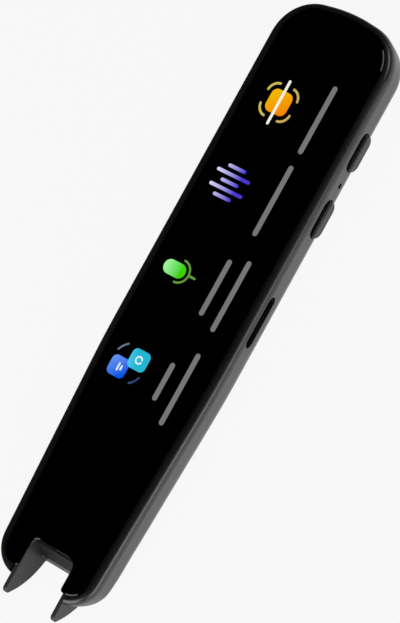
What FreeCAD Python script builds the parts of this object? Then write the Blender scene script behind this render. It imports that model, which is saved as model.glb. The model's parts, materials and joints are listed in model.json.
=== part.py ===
"""Handheld scanning translator: a flat pen with a long screen and a sprung scanning fork.

Frame: millimetres, the pen lies on its back. +X is the button side, +Y points to the
loudspeaker end, +Z points out of the screen. The origin is the middle of the flat back.
"""
import FreeCAD, Part
import Sketcher
import math
import os
import re

DOCUMENT = FreeCAD.newDocument("HandheldTranslator")
SHEET = DOCUMENT.addObject("Spreadsheet::Sheet", "Sizes")

SIZES = {
    # casing
    "casing_width": 34.5,
    "casing_thickness": 12.6,
    "top_end": 78.0,
    "lobe_end": -73.0,
    "top_corner_radius": 10.8,
    "crown_radius": 42.0,
    "crown_slope": 8.0,
    "taper_start": -15.0,
    "taper_angle": 2.6,
    "taper_blend_radius": 250.0,
    "lobe_corner_radius": 8.0,
    "rim_depth": 2.4,
    "side_draft": 10.0,
    "back_round": 7.2,
    "lobe_round": 3.0,
    "rim_round": 1.4,
    "boat_start": -52.0,
    "boat_radius": 36.0,
    "side_wall": 1.5,
    "back_wall": 1.3,
    "ledge_width": 1.0,
    "ledge_thickness": 1.0,
    "rim_drop": 0.25,
    # glass and display
    "glass_thickness": 0.8,
    "glass_margin": 2.05,
    "glass_top_margin": 1.55,
    "glass_gap": 0.15,
    "glass_edge_round": 0.35,
    "glass_notch_width": 13.2,
    "glass_notch_end": -63.0,
    "glass_notch_radius": 2.2,
    "glass_lobe_radius": 4.6,
    "glass_lip_radius": 0.8,
    "glass_lobe_end": -70.7,
    "adhesive_thickness": 0.2,
    "display_width": 26.0,
    "display_top": 66.5,
    "display_length": 100.5,
    "display_corner_radius": 1.0,
    "display_thickness": 1.2,
    "backlight_thickness": 0.8,
    "tray_thickness": 0.4,
    "tray_border": 0.5,
    "flex_width": 10.0,
    "flex_thickness": 0.2,
    "flex_overlap": 3.0,
    # scanning fork
    "fork_width": 16.4,
    "fin_thickness": 1.3,
    "fork_clearance": 0.35,
    "fork_tip_end": -77.5,
    "fork_tip_radius": 1.3,
    "fork_belly_end": -67.1,
    "fork_belly_height": 2.2,
    "fork_belly_bulge": 1.3,
    "fork_step_height": 0.2,
    "fork_step_length": 0.8,
    "fork_step_end": -65.4,
    "fork_floor_height": 3.7,
    "fork_floor_thickness": 1.0,
    "fork_back_end": -53.5,
    "fork_travel": 1.0,
    "fork_cover_gap": 0.3,
    "window_top_end": -63.2,
    "window_low_end": -67.1,
    "window_thickness": 1.2,
    "notch_end": -62.9,
    "notch_corner_radius": 2.4,
    "bay_end": -49.5,
    "spring_wire": 0.35,
    "spring_radius": 1.0,
    "spring_turns": 5.0,
    "camera_rib_length": 2.0,
    "spring_height": 7.6,
    # buttons on the side
    "button_height": 6.7,
    "button_length": 9.6,
    "button_width": 4.6,
    "button_proud": 0.55,
    "button_clearance": 0.2,
    "button_edge_round": 0.35,
    "button_flange": 0.4,
    "button_flange_thickness": 0.6,
    "button_flange_face": 14.8,
    "button_room_depth": 1.5,
    "button_room_gap": 0.05,
    "button_travel": 0.4,
    "power_button_place": 49.85,
    "record_button_place": 32.5,
    "dome_radius": 1.9,
    "dome_thickness": 0.6,
    "dome_gap": 0.1,
    "key_board_thickness": 0.8,
    "key_board_height": 5.0,
    "key_board_margin": 3.0,
    # sound
    "grille_rib_count": 5,
    "grille_rib_width": 0.6,
    "grille_bay_width": 1.8,
    "grille_top": 68.0,
    "grille_low": 50.0,
    "grille_ramp_end": 42.0,
    "grille_depth": 2.9,
    "mesh_thickness": 0.2,
    "gasket_thickness": 0.4,
    "gasket_width": 1.0,
    "speaker_thickness": 2.4,
    "speaker_margin": 1.6,
    "speaker_cone_thickness": 0.3,
    "side_hole_place": 41.2,
    "side_hole_radius": 0.7,
    "top_hole_place": 9.0,
    "top_hole_radius": 0.5,
    "microphone_length": 3.0,
    "microphone_width": 2.2,
    "microphone_thickness": 1.0,
    # sockets
    "port_width": 9.0,
    "port_height": 3.3,
    "port_clearance": 0.25,
    "port_depth": 7.4,
    "port_wall": 0.3,
    "port_recess": 1.2,
    "tongue_width": 6.7,
    "tongue_thickness": 0.7,
    "tongue_recess": 0.8,
    "slot_place": 4.9,
    "slot_height": 9.0,
    "slot_length": 13.2,
    "slot_width": 3.2,
    "card_socket_depth": 11.0,
    "card_socket_thickness": 1.6,
    "card_socket_margin": 0.9,
    "card_socket_wall": 0.2,
    # boards, battery, fixings
    "board_thickness": 0.8,
    "board_width": 24.4,
    "board_side_extra": 1.6,
    "board_nose_width": 12.0,
    "board_nose_end": 75.0,
    "board_nose_overlap": 1.0,
    "board_low_end": -12.0,
    "board_top_end": 69.5,
    "board_level": 6.8,
    "shield_width": 15.0,
    "shield_length": 18.0,
    "shield_thickness": 1.5,
    "shield_place": 27.0,
    "chip_thickness": 1.0,
    "antenna_length": 9.0,
    "antenna_width": 2.0,
    "antenna_thickness": 1.2,
    "battery_width": 16.8,
    "battery_low_end": -46.0,
    "battery_length": 84.0,
    "battery_thickness": 4.6,
    "battery_corner_radius": 1.5,
    "tape_thickness": 0.3,
    "tape_width": 14.0,
    "protection_board_length": 3.0,
    "boss_radius": 1.9,
    "boss_place_side": 10.2,
    "boss_place_low": 43.0,
    "boss_place_top": 65.5,
    "screw_radius": 0.7,
    "screw_head_radius": 1.3,
    "screw_head_thickness": 0.7,
    "screw_length": 3.4,
    "screw_fit": 0.05,
    # camera
    "camera_board_thickness": 0.8,
    "camera_board_width": 12.2,
    "camera_board_height": 6.9,
    "camera_board_level": 3.5,
    "camera_axis_height": 7.9,
    "camera_width": 6.0,
    "camera_height": 4.6,
    "camera_length": 5.0,
    "camera_lens_radius": 1.7,
    "camera_lens_length": 1.4,
    "lamp_width": 2.0,
    "lamp_height": 1.6,
    "lamp_length": 1.2,
    "lamp_gap": 0.3,
    "tip_switch_width": 2.4,
    "tip_switch_height": 2.0,
    "tip_switch_gap": 0.3,
}

FORMULAS = {
    "half_width": "casing_width / 2",
    "glass_bottom": "casing_thickness - glass_thickness",
    "ledge_top": "glass_bottom - adhesive_thickness",
    "ledge_bottom": "ledge_top - ledge_thickness",
    "opening_margin": "glass_margin + ledge_width",
    "display_low": "display_top - display_length",
    "display_bottom": "glass_bottom - display_thickness",
    "backlight_bottom": "display_bottom - backlight_thickness",
    "tray_bottom": "backlight_bottom - tray_thickness",
    "board_top": "board_level + board_thickness",
    "board_length": "board_top_end - board_low_end",
    "grille_width": "(grille_rib_count + 1) * grille_bay_width + grille_rib_count * grille_rib_width",
    "grille_length": "grille_top - grille_low",
    "gasket_level": "grille_depth + mesh_thickness",
    "speaker_level": "gasket_level + gasket_thickness",
    "flange_back": "button_flange_face - button_flange_thickness",
    "dome_face": "flange_back - button_travel - dome_gap",
    "key_board_face": "dome_face - dome_thickness",
    "key_board_low": "record_button_place - button_length / 2 - key_board_margin + 1",
    "key_board_top": "power_button_place + button_length / 2 + key_board_margin - 1",
    "battery_level": "back_wall + tape_thickness",
    "fork_front": "ledge_top - fork_cover_gap",
    "fin_inner": "fork_width / 2 - fin_thickness",
    "bay_half_width": "fork_width / 2 + fork_clearance",
    "bay_floor": "fork_floor_height - fork_clearance",
    "port_level": "board_top + port_height / 2",
    "port_face": "top_end - port_recess",
    "camera_board_place": "bay_end - camera_board_thickness",
    "fork_pressed_end": "fork_back_end + fork_travel",
    "rib_top": "ledge_bottom - 1",
}

WORD = re.compile(r"[a-z]+(?:_[a-z]+)*")


def fill_sheet():
    """Write each driving size into the sheet as plain text, with its alias."""
    for row, (alias, number) in enumerate(SIZES.items(), start=1):
        SHEET.set(f"A{row}", alias.replace("_", " "))
        SHEET.set(f"B{row}", str(number))
        SHEET.setAlias(f"B{row}", alias)
    DOCUMENT.recompute()


def bound(text):
    """Turn names of sizes and formulas into an expression on the sheet."""

    def swap(match):
        name = match.group(0)
        if name in FORMULAS:
            return f"({bound(FORMULAS[name])})"
        if name in SIZES:
            return f"Sizes.{name}"
        raise KeyError(name)

    return WORD.sub(swap, str(text))


def value(text):
    """The number that an expression on the sizes gives, worked out by the sheet."""
    return float(SHEET.evalExpression(bound(text)))


def tie(thing, **places):
    """Bind properties of a document object to expressions on the sheet."""
    for name, text in places.items():
        path = name.replace("__", ".")
        thing.setExpression(path, bound(text))
    return thing


def at(thing, x, y, z):
    """Bind a document object's place."""
    return tie(thing, Placement__Base__x=x, Placement__Base__y=y, Placement__Base__z=z)


def block(label, x, y, z, width, length, height):
    """A box with its low corner at x, y, z."""
    box = DOCUMENT.addObject("Part::Box", label)
    box.Label = label
    tie(box, Length=width, Width=length, Height=height)
    return at(box, x, y, z)


def centred_block(label, x, y, z, width, length, height):
    """A box that is centred on x and y and stands on z."""
    return block(label, f"{x} - ({width}) / 2", f"{y} - ({length}) / 2", z, width, length, height)


AXES = {
    "x": FreeCAD.Rotation(FreeCAD.Vector(0, 1, 0), 90),
    "y": FreeCAD.Rotation(FreeCAD.Vector(1, 0, 0), -90),
    "z": FreeCAD.Rotation(),
}


def rod(label, axis, x, y, z, radius, length):
    """A cylinder that starts at x, y, z and runs along an axis."""
    bar = DOCUMENT.addObject("Part::Cylinder", label)
    bar.Label = label
    bar.Placement = FreeCAD.Placement(FreeCAD.Vector(), AXES[axis])
    tie(bar, Radius=radius, Height=length)
    return at(bar, x, y, z)


def feature(label, shape):
    """A document object that holds a worked-out shape."""
    thing = DOCUMENT.addObject("Part::Feature", label)
    thing.Label = label
    thing.Shape = shape
    return thing


def fuse(label, *things):
    """One solid from several that touch or overlap."""
    joined = DOCUMENT.addObject("Part::MultiFuse", label)
    joined.Label = label
    joined.Shapes = list(things)
    joined.Refine = True
    return joined


def cut(label, base, *tools):
    """The base with the tools taken away."""
    cutter = tools[0]
    if len(tools) > 1:
        cutter = fuse(f"{label}_cutter", *tools)
    trimmed = DOCUMENT.addObject("Part::Cut", label)
    trimmed.Label = label
    trimmed.Base = base
    trimmed.Tool = cutter
    trimmed.Refine = True
    return trimmed


def group(label, *things):
    """Several separate solids of one kind under one name."""
    bundle = DOCUMENT.addObject("Part::Compound", label)
    bundle.Label = label
    bundle.Links = list(things)
    return bundle


def plate(label, x, y, z, width, length, height, radius):
    """A plate with rounded corners, padded from a sketched rectangle; x and y are its middle."""
    body = DOCUMENT.addObject("PartDesign::Body", label)
    body.Label = label
    sketch = body.newObject("Sketcher::SketchObject", f"{label}_outline")
    plane = [item for item in body.Origin.OriginFeatures if item.Role == "XY_Plane"][0]
    sketch.AttachmentSupport = [(plane, "")]
    sketch.MapMode = "FlatFace"
    wide, long = value(width) / 2, value(length) / 2
    corners = [(-wide, -long), (wide, -long), (wide, long), (-wide, long)]
    for index, (start_x, start_y) in enumerate(corners):
        end_x, end_y = corners[(index + 1) % 4]
        start = FreeCAD.Vector(start_x, start_y, 0)
        sketch.addGeometry(Part.LineSegment(start, FreeCAD.Vector(end_x, end_y, 0)), False)
    for index in range(4):
        sketch.addConstraint(Sketcher.Constraint("Coincident", index, 2, (index + 1) % 4, 1))
    for index, kind in enumerate(("Horizontal", "Vertical", "Horizontal", "Vertical")):
        sketch.addConstraint(Sketcher.Constraint(kind, index))
    sketch.addConstraint(Sketcher.Constraint("Symmetric", 0, 1, 1, 2, -1, 1))
    across = sketch.addConstraint(Sketcher.Constraint("DistanceX", 0, 1, 0, 2, 2 * wide))
    along = sketch.addConstraint(Sketcher.Constraint("DistanceY", 1, 1, 1, 2, 2 * long))
    sketch.setExpression(f"Constraints[{across}]", bound(width))
    sketch.setExpression(f"Constraints[{along}]", bound(length))
    pad = body.newObject("PartDesign::Pad", f"{label}_pad")
    pad.Profile = sketch
    tie(pad, Length=height)
    DOCUMENT.recompute()
    upright = []
    for number, edge in enumerate(pad.Shape.Edges, start=1):
        first, last = edge.Vertexes[0].Point, edge.Vertexes[-1].Point
        if abs(first.x - last.x) + abs(first.y - last.y) < 1e-6:
            upright.append(f"Edge{number}")
    fillet = body.newObject("PartDesign::Fillet", f"{label}_corners")
    fillet.Base = (pad, upright)
    tie(fillet, Radius=radius)
    body.Tip = fillet
    return at(body, x, y, z)


def point(x, y, z=0.0):
    """A short name for a vector."""
    return FreeCAD.Vector(x, y, z)


def rounded_wire(corners, height):
    """A closed wire through corners (x, y, radius), each rounded by a tangent arc."""
    count = len(corners)
    spans = []
    for index, (x, y, radius) in enumerate(corners):
        here = point(x, y, height)
        before = point(*corners[index - 1][:2], height)
        after = point(*corners[(index + 1) % count][:2], height)
        back = (before - here).normalize()
        ahead = (after - here).normalize()
        if radius <= 0:
            spans.append((here, None, here))
            continue
        half = back.getAngle(ahead) / 2
        reach = radius / math.tan(half)
        inward = (back + ahead).normalize()
        middle = here + inward * (radius / math.sin(half) - radius)
        spans.append((here + back * reach, middle, here + ahead * reach))
    edges = []
    for index, (start, middle, end) in enumerate(spans):
        if middle is not None:
            edges.append(Part.Arc(start, middle, end).toShape())
        following = spans[(index + 1) % count][0]
        if end.distanceToPoint(following) > 1e-6:
            edges.append(Part.LineSegment(end, following).toShape())
    return Part.Wire(edges)


def plan_corners(side_inset, top_inset, low_end, radius_inset):
    """The pen's outline seen from the front, drawn in by the given insets."""
    wide = value("half_width") - side_inset
    slope = math.radians(value("crown_slope"))
    crown = value("crown_radius") - top_inset
    top = value("top_end") - top_inset
    apex = top + crown * (1 / math.cos(slope) - 1)
    shoulder = apex - wide * math.tan(slope)
    knee = value("taper_start")
    taper = math.tan(math.radians(value("taper_angle")))
    low_wide = wide - (knee - low_end) * taper
    top_radius = value("top_corner_radius") - radius_inset
    low_radius = max(value("lobe_corner_radius") - radius_inset, 0.8)
    blend = value("taper_blend_radius")
    return [
        (0, apex, crown),
        (-wide, shoulder, top_radius),
        (-wide, knee, blend),
        (-low_wide, low_end, low_radius),
        (low_wide, low_end, low_radius),
        (wide, knee, blend),
        (wide, shoulder, top_radius),
    ]


def plan_wire(inset, height, low_end=None, top_inset=None):
    """A wire of the plan outline at a height, with one inset all round unless told."""
    low = value("lobe_end") + inset if low_end is None else low_end
    top = inset if top_inset is None else top_inset
    return rounded_wire(plan_corners(inset, top, low, inset), height)


def prism(wire, height):
    """A straight solid on a flat wire."""
    return Part.Face(wire).extrude(point(0, 0, height))


def ruled(*wires):
    """A solid through wires at rising heights."""
    return Part.makeLoft(list(wires), True, True)


def side_draft_inset(height):
    """How far the drafted side wall stands in from the widest line at a height."""
    drop = value("casing_thickness - rim_depth") - height
    return max(drop, 0) * math.tan(math.radians(value("side_draft")))


def boat_cutter(lift):
    """The space under the back where it curves up to the lobes, raised by lift."""
    start, radius = value("boat_start"), value("boat_radius")
    beyond = value("fork_tip_end") - radius
    turn = math.radians(75)
    wide = value("casing_width")

    def on_arc(angle):
        return point(-wide, start - radius * math.sin(angle), lift + radius * (1 - math.cos(angle)))

    below = -radius
    first, middle, last = on_arc(0), on_arc(turn / 2), on_arc(turn)
    edges = [
        Part.Arc(first, middle, last).toShape(),
        Part.LineSegment(last, point(-wide, beyond, last.z)).toShape(),
        Part.LineSegment(point(-wide, beyond, last.z), point(-wide, beyond, below)).toShape(),
        Part.LineSegment(point(-wide, beyond, below), point(-wide, start, below)).toShape(),
        Part.LineSegment(point(-wide, start, below), first).toShape(),
    ]
    return Part.Face(Part.Wire(edges)).extrude(point(2 * wide, 0, 0))


def back_edges(shape):
    """Edges round the back face and the curved tip, with the radius that each takes."""
    full, small = value("back_round"), value("lobe_round")
    start, end = value("boat_start"), value("lobe_end")
    radius = value("boat_radius")
    chosen = []
    for number, edge in enumerate(shape.Edges, start=1):
        lows = []
        for vertex in edge.Vertexes:
            rise = start - vertex.Point.y
            floor = radius - math.sqrt(max(radius ** 2 - max(rise, 0) ** 2, 0))
            lows.append((abs(vertex.Point.z - floor) < 0.02, vertex.Point.y))
        if not all(flag for flag, _ in lows):
            continue
        sizes = []
        for _, y in (lows[0], lows[-1]):
            share = min(max((start - y) / (start - end), 0), 1)
            sizes.append(full + (small - full) * share)
        chosen.append((number, *sizes))
    return chosen


def outer_form():
    """The casing's outer form as one full solid, rounded at the back and the front rim."""
    front = value("casing_thickness - rim_drop")
    shoulder = value("casing_thickness - rim_depth")
    drafted = ruled(plan_wire(side_draft_inset(0), 0), plan_wire(0, shoulder))
    upright = prism(plan_wire(0, shoulder), front - shoulder)
    rough = feature("casing_rough", drafted.fuse(upright).removeSplitter().cut(boat_cutter(0)))
    rounded = DOCUMENT.addObject("Part::Fillet", "casing_back_rounded")
    rounded.Base = rough
    rounded.Edges = back_edges(rough.Shape)
    DOCUMENT.recompute()
    rim = []
    for number, edge in enumerate(rounded.Shape.Edges, start=1):
        if all(abs(vertex.Point.z - front) < 1e-4 for vertex in edge.Vertexes):
            rim.append((number, value("rim_round"), value("rim_round")))
    form = DOCUMENT.addObject("Part::Fillet", "casing_form")
    form.Base = rounded
    form.Edges = rim
    DOCUMENT.recompute()
    return form


def cavity_form():
    """The hollow inside the casing, up to the ledge that carries the glass."""
    wall, floor = value("side_wall"), value("back_wall")
    ledge = value("ledge_bottom")
    knee = value("casing_thickness / 2")
    low = value("notch_end") + value("fork_clearance") + wall
    drafted = side_draft_inset(0) + wall
    full = value("back_round")
    steps = [
        (floor, drafted + full * 0.62),
        (floor + full * 0.16, drafted + full * 0.23),
        (knee, side_draft_inset(knee) + wall),
        (ledge, wall),
    ]
    wires = [plan_wire(inset, height, low_end=low) for height, inset in steps]
    return ruled(*wires).cut(boat_cutter(floor))


def obround(label, axis_x, y, z, length, width, depth, grow="0"):
    """A flat-sided round-ended solid along +X, its long way along Y."""
    long, wide = value(f"{length} + 2 * ({grow})"), value(f"{width} + 2 * ({grow})")
    start = value(axis_x)
    straight = (long - wide) / 2
    middle_y, middle_z, radius = value(y), value(z), wide / 2
    up, down = middle_z + radius, middle_z - radius
    left, right = middle_y - straight, middle_y + straight
    edges = [
        Part.LineSegment(point(start, left, up), point(start, right, up)).toShape(),
        Part.Arc(
            point(start, right, up), point(start, right + radius, middle_z), point(start, right, down)
        ).toShape(),
        Part.LineSegment(point(start, right, down), point(start, left, down)).toShape(),
        Part.Arc(
            point(start, left, down), point(start, left - radius, middle_z), point(start, left, up)
        ).toShape(),
    ]
    solid = Part.Face(Part.Wire(edges)).extrude(point(value(depth), 0, 0))
    return feature(label, solid)


def port_solid(label, y, grow, depth):
    """The round-ended outline of the charging port, along Y, grown all round."""
    wide, high = value(f"port_width + 2 * ({grow})"), value(f"port_height + 2 * ({grow})")
    start, level = value(y), value("port_level")
    radius = high / 2
    side = wide / 2 - radius
    edges = [
        Part.LineSegment(point(-side, start, level + radius), point(side, start, level + radius)).toShape(),
        Part.Arc(
            point(side, start, level + radius), point(side + radius, start, level),
            point(side, start, level - radius),
        ).toShape(),
        Part.LineSegment(point(side, start, level - radius), point(-side, start, level - radius)).toShape(),
        Part.Arc(
            point(-side, start, level - radius), point(-side - radius, start, level),
            point(-side, start, level + radius),
        ).toShape(),
    ]
    return feature(label, Part.Face(Part.Wire(edges)).extrude(point(0, value(depth), 0)))


def grille_cutters():
    """Bays between the grille ribs: deep slots whose lower ends ramp up to the back face."""
    pitch = value("grille_bay_width + grille_rib_width")
    width = value("grille_bay_width")
    first = -value("grille_width") / 2
    top, low, end = value("grille_top"), value("grille_low"), value("grille_ramp_end")
    deep = value("grille_depth")
    under = -1.0
    solids = []
    for index in range(int(value("grille_rib_count")) + 1):
        x = first + index * pitch
        corners = [(top, under), (top, deep + 1), (low, deep + 1), (low, deep - 0.5), (end, 0), (end, under)]
        points = [point(x, y, z) for y, z in corners]
        face = Part.Face(Part.makePolygon(points + points[:1]))
        solids.append(face.extrude(point(width, 0, 0)))
    return feature("grille_bays", Part.makeCompound(solids))


def notch_cutters():
    """The fork's bay inside the casing and the notch that lets it out at the back and tip."""
    half = value("bay_half_width")
    end, far = value("notch_end"), value("fork_tip_end") - 5
    radius = value("notch_corner_radius")
    top = value("ledge_top") + 1
    corners = [(half, far, 0), (half, end, radius), (-half, end, radius), (-half, far, 0)]
    through = prism(rounded_wire(corners, -2), top + 2)
    floor = value("bay_floor")
    inner_end = value("bay_end")
    inner = Part.makeBox(2 * half, inner_end - end + radius, top - floor, point(-half, end - radius, floor))
    return feature("fork_bay", through.fuse(inner))


def opening_wire(inset, height):
    """The opening inside the ledge, drawn in by an inset."""
    low = value("notch_end") + value("side_wall")
    return plan_wire(value("opening_margin") + inset, height, low_end=low)


def front_cutter():
    """The seat of the glass and the opening under it."""
    window = prism(opening_wire(0, value("rib_top")), value("casing_thickness"))
    seat = prism(
        rounded_wire(glass_corners(-value("glass_gap")), value("ledge_top")), value("casing_thickness")
    )
    return feature("front_opening", window.fuse(seat))


def casing_shell():
    """The back casing: one moulded tub with grille, notch, pockets, bosses and seats."""
    form = outer_form()
    hollow = feature("casing_hollow", cavity_form())
    tub = cut("casing_tub", form, hollow)
    additions = [
        block("grille_floor", "-grille_width / 2 - gasket_width", "grille_ramp_end - gasket_width",
              "back_wall / 2", "grille_width + 2 * gasket_width",
              "grille_top - grille_ramp_end + 2 * gasket_width", "grille_depth - back_wall / 2"),
        block("camera_rib", "-half_width", "bay_end", "back_wall / 2", "casing_width", "camera_rib_length",
              "rib_top - back_wall / 2"),
    ]
    for side in (-1, 1):
        for place in ("boss_place_low", "boss_place_top"):
            additions.append(
                rod(f"boss_{place}_{side + 1}", "z", f"{side} * boss_place_side", place, "back_wall / 2",
                    "boss_radius", "board_level - back_wall / 2")
            )
    solid = fuse("casing_with_bosses", tub, *additions)
    trimmed = DOCUMENT.addObject("Part::Common", "casing_inside_form")
    trimmed.Base = solid
    trimmed.Tool = form
    cutters = [notch_cutters(), front_cutter(), grille_cutters()]
    for name, place in (("power", "power_button_place"), ("record", "record_button_place")):
        cutters.append(
            obround(f"{name}_hole", "flange_back", place, "button_height", "button_length",
                    "button_width", "half_width", grow="button_clearance")
        )
        cutters.append(
            obround(f"{name}_flange_room", "flange_back - button_room_depth", place, "button_height",
                    "button_length", "button_width",
                    "button_flange_thickness + button_room_depth + button_room_gap",
                    grow="button_flange + button_clearance")
        )
    cutters.append(
        obround("card_slot", "half_width - 4", "slot_place", "slot_height", "slot_length", "slot_width", "5")
    )
    cutters.append(
        rod("side_hole", "x", "half_width - 5", "side_hole_place", "button_height", "side_hole_radius", "6")
    )
    cutters.append(
        rod("top_hole", "y", "top_hole_place", "top_end - 7", "port_level", "top_hole_radius", "8")
    )
    cutters.append(port_solid("port_hole", "port_face - port_depth", "port_clearance", "port_depth + 4"))
    for side in (-1, 1):
        for place in ("boss_place_low", "boss_place_top"):
            cutters.append(
                rod(f"thread_{place}_{side + 1}", "z", f"{side} * boss_place_side", place,
                    "board_top - screw_length", "screw_radius + screw_fit", "screw_length")
            )
    return cut("casing_shell", trimmed, *cutters)


def glass_corners(inset):
    """Corners of the glass before its notch, drawn in by an inset."""
    margin = value("glass_margin") + inset
    low = value("glass_lobe_end") + inset
    corners = plan_corners(margin, value("glass_top_margin") + inset, low, margin)
    for index in (3, 4):
        corners[index] = (*corners[index][:2], value("glass_lobe_radius") - inset)
    return corners


def glass_outline(inset, height):
    """The glass's outline wire, with the notch for the fork."""
    corners = glass_corners(inset)
    low = value("glass_lobe_end") + inset
    half = value("glass_notch_width") / 2 + inset
    end = value("glass_notch_end") + inset
    radius = value("glass_notch_radius") + inset
    lip = value("glass_lip_radius") - inset
    notch = [(-half, low, lip), (-half, end, radius), (half, end, radius), (half, low, lip)]
    return rounded_wire(corners[:4] + notch + corners[4:], height)


def cover_glass():
    """The cover glass, whose front edges fall away in three steps of a soft round."""
    bottom, thick = value("glass_bottom"), value("glass_thickness")
    soft = value("glass_edge_round")
    steps = [(0, 0), (thick - soft, 0), (thick - soft * 0.4, soft * 0.25), (thick, soft)]
    wires = [glass_outline(inset, bottom + rise) for rise, inset in steps]
    return feature("cover_glass", ruled(*wires))


def glass_adhesive():
    """The ring of adhesive between the ledge and the glass."""
    level, thick = value("ledge_top"), value("adhesive_thickness")
    outer = prism(glass_outline(0.2, level), thick)
    inner = prism(opening_wire(-0.1, level - 1), thick + 2)
    return feature("glass_adhesive", outer.cut(inner))


def display_parts():
    """Panel, backlight, tray and ribbon under the glass."""
    middle = "display_low + display_length / 2"
    panel = plate("display_panel", "0", middle, "display_bottom", "display_width", "display_length",
                  "display_thickness", "display_corner_radius")
    light = plate("display_backlight", "0", middle, "backlight_bottom", "display_width", "display_length",
                  "backlight_thickness", "display_corner_radius")
    tray = plate("display_tray", "0", middle, "tray_bottom", "display_width + 2 * tray_border",
                 "display_length + 2 * tray_border", "tray_thickness", "display_corner_radius + tray_border")
    drop = block("ribbon_drop", "-flex_width / 2", "display_low - tray_border - 2 * flex_thickness", "board_top",
                 "flex_width", "flex_thickness", "display_bottom + flex_thickness - board_top")
    run = block("ribbon_run", "-flex_width / 2", "display_low - tray_border - 2 * flex_thickness", "board_top",
                "flex_width", "board_low_end + flex_overlap - display_low + tray_border", "flex_thickness")
    hook = block("ribbon_hook", "-flex_width / 2", "display_low - tray_border - 2 * flex_thickness",
                 "display_bottom", "flex_width", "tray_border + 2 * flex_thickness", "flex_thickness")
    return [panel, light, tray, fuse("display_ribbon", drop, run, hook)]


def main_board_parts():
    """The main board with its shield, chips, antenna and screws."""
    blank = fuse(
        "board_blank",
        block("board_field", "-board_width / 2 - board_side_extra", "board_low_end", "board_level",
              "board_width + board_side_extra", "board_length", "board_thickness"),
        block("board_nose", "-board_nose_width / 2", "board_top_end - board_nose_overlap", "board_level",
              "board_nose_width", "board_nose_end - board_top_end + board_nose_overlap", "board_thickness"),
    )
    board = cut(
        "main_board",
        blank,
        *[
            rod(f"board_hole_{place}_{side + 1}", "z", f"{side} * boss_place_side", place, "board_level - 1",
                "screw_radius + 0.15", "board_thickness + 2")
            for side in (-1, 1) for place in ("boss_place_low", "boss_place_top")
        ],
    )
    shield = plate("processor_shield", "-2", "shield_place", "board_top", "shield_width", "shield_length",
                   "shield_thickness", "display_corner_radius")
    chips = group(
        "board_chips",
        centred_block("memory_chip", "-6", "shield_place - shield_length / 2 - 6", "board_top", "9", "7",
                      "chip_thickness"),
        centred_block("power_chip", "-5", "shield_place + shield_length / 2 + 6", "board_top", "6", "6",
                      "chip_thickness"),
        centred_block("sound_chip", "1.5", "shield_place + shield_length / 2 + 6", "board_top", "4.5", "4.5",
                      "chip_thickness"),
        centred_block("coil_chip", "-6", "slot_place - 10", "board_top", "4", "4", "chip_thickness"),
    )
    antenna = centred_block("radio_antenna", "-board_width / 2 + 2.5", "board_top_end - antenna_length / 2 - 8.5",
                            "board_top", "antenna_width", "antenna_length", "antenna_thickness")
    screws = []
    for side in (-1, 1):
        for place in ("boss_place_low", "boss_place_top"):
            x = f"{side} * boss_place_side"
            shank = rod(f"shank_{place}_{side + 1}", "z", x, place, "board_top - screw_length + 0.2",
                        "screw_radius", "screw_length - 0.2")
            head = rod(f"head_{place}_{side + 1}", "z", x, place, "board_top", "screw_head_radius",
                       "screw_head_thickness")
            screws.append(fuse(f"screw_{place}_{side + 1}", shank, head))
    return [board, shield, chips, antenna, group("board_screws", *screws)]


def battery_parts():
    """The cell, the tape that holds it and its protection board."""
    middle = "battery_low_end + battery_length / 2"
    cell = plate("battery", "0", middle, "battery_level", "battery_width", "battery_length", "battery_thickness",
                 "battery_corner_radius")
    tape = centred_block("battery_tape", "0", middle, "back_wall", "tape_width", "battery_length * 3 / 4",
                         "tape_thickness")
    guard = centred_block("battery_protection_board", "0",
                          "battery_low_end + battery_length + protection_board_length / 2",
                          "battery_level + 1", "battery_width * 2 / 3", "protection_board_length",
                          "battery_thickness / 2")
    return [cell, tape, guard]


def speaker_parts():
    """Dust mesh, gasket, loudspeaker and its cone behind the grille."""
    width, length = "grille_width + 1", "grille_length + 1"
    middle = "grille_low + grille_length / 2"
    mesh = centred_block("speaker_mesh", "0", middle, "grille_depth", width, length, "mesh_thickness")
    ring = cut(
        "speaker_gasket",
        centred_block("gasket_blank", "0", middle, "gasket_level", width, length, "gasket_thickness"),
        centred_block("gasket_hole", "0", middle, "gasket_level - 1", f"{width} - 2 * gasket_width",
                      f"{length} - 2 * gasket_width", "gasket_thickness + 2"),
    )
    case = cut(
        "speaker",
        plate("speaker_case", "0", middle, "speaker_level", width, length, "speaker_thickness",
              "speaker_margin"),
        centred_block("speaker_mouth", "0", middle, "speaker_level - 1", f"{width} - 2 * speaker_margin",
                      f"{length} - 2 * speaker_margin", "1 + 2 * speaker_cone_thickness"),
    )
    cone = centred_block("speaker_cone", "0", middle, "speaker_level + speaker_cone_thickness",
                         f"{width} - 2 * speaker_margin", f"{length} - 2 * speaker_margin",
                         "speaker_cone_thickness")
    return [mesh, ring, case, cone]


def key_parts():
    """The upright key board with its two domes and the side microphone."""
    board = block("key_board", "key_board_face - key_board_thickness", "key_board_low",
                  "button_height - key_board_height / 2", "key_board_thickness",
                  "key_board_top - key_board_low", "key_board_height")
    domes = group(
        "key_domes",
        rod("power_dome", "x", "key_board_face", "power_button_place", "button_height", "dome_radius",
            "dome_thickness"),
        rod("record_dome", "x", "key_board_face", "record_button_place", "button_height", "dome_radius",
            "dome_thickness"),
    )
    side = centred_block("side_microphone", "key_board_face + microphone_thickness / 2", "side_hole_place",
                         "button_height - microphone_width / 2", "microphone_thickness", "microphone_length",
                         "microphone_width")
    top = centred_block("top_microphone", "top_hole_place", "board_top_end + microphone_thickness / 2",
                        "port_level - microphone_width / 2", "microphone_length", "microphone_thickness",
                        "microphone_width")
    return [board, domes, side, top]


def side_face(height):
    """How far out the drafted side stands at a height."""
    return value("half_width") - side_draft_inset(value(height))


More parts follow.
